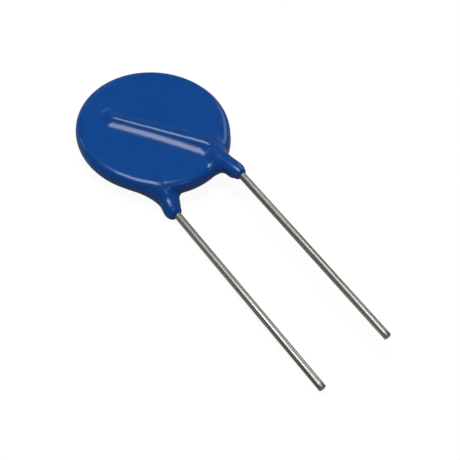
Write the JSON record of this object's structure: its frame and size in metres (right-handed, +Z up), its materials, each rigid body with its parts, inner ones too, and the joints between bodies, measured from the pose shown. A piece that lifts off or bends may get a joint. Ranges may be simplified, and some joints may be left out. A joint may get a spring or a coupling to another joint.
{
  "type": "varistor",
  "caption": "Radial-lead disc varistor: an epoxy-dipped zinc-oxide disc with a tinned wire soldered across each face, lying flat, that clamps voltage surges on a circuit board.",
  "frame": {"origin": "on the table below the middle of the outline, with the part lying on its rear side", "axes": "+Z up out of the front face, +Y from the leads' cut ends towards the disc, +X towards the front lead"},
  "size_m": [0.0168, 0.0424, 0.0044],
  "materials": {
    "zinc_oxide": "sintered, matt",
    "silver": "fired silver paste, satin",
    "solder": "bright solder",
    "tinned_wire": "tinned copper, drawn",
    "blue_epoxy": "dipped epoxy, glossy"
  },
  "bodies": {
    "root": {"ceramic_disc": "zinc_oxide", "front_electrode": "silver", "rear_electrode": "silver", "front_solder": "solder", "rear_solder": "solder", "front_lead": "tinned_wire", "rear_lead": "tinned_wire", "epoxy_coating": "blue_epoxy"}
  },
  "joints": []
}
